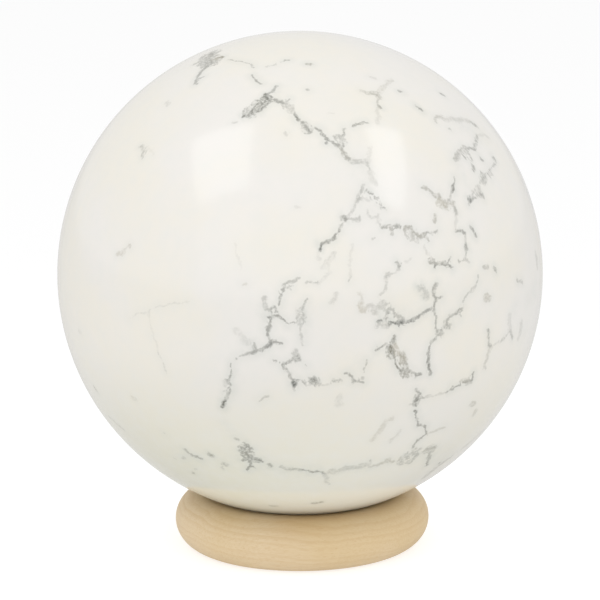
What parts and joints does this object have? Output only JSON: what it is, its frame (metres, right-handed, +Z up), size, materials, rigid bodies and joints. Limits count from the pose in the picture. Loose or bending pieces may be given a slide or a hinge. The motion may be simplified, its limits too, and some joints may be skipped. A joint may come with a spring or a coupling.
{
  "type": "decorative sphere",
  "caption": "Polished white stone sphere with grey web veins, resting in a turned pale-wood ring stand.",
  "frame": {"origin": "centre of the ring stand's sanded underside, on the surface that the ornament stands on", "axes": "+Z up, along the common axis of the ring and the sphere; -Y is the side that faces the viewer"},
  "size_m": [0.1, 0.1, 0.1071],
  "materials": {
    "white_stone": "polished",
    "pale_wood": "matte"
  },
  "bodies": {
    "root": {"stone_sphere": "white_stone", "wooden_ring_stand": "pale_wood"}
  },
  "joints": []
}
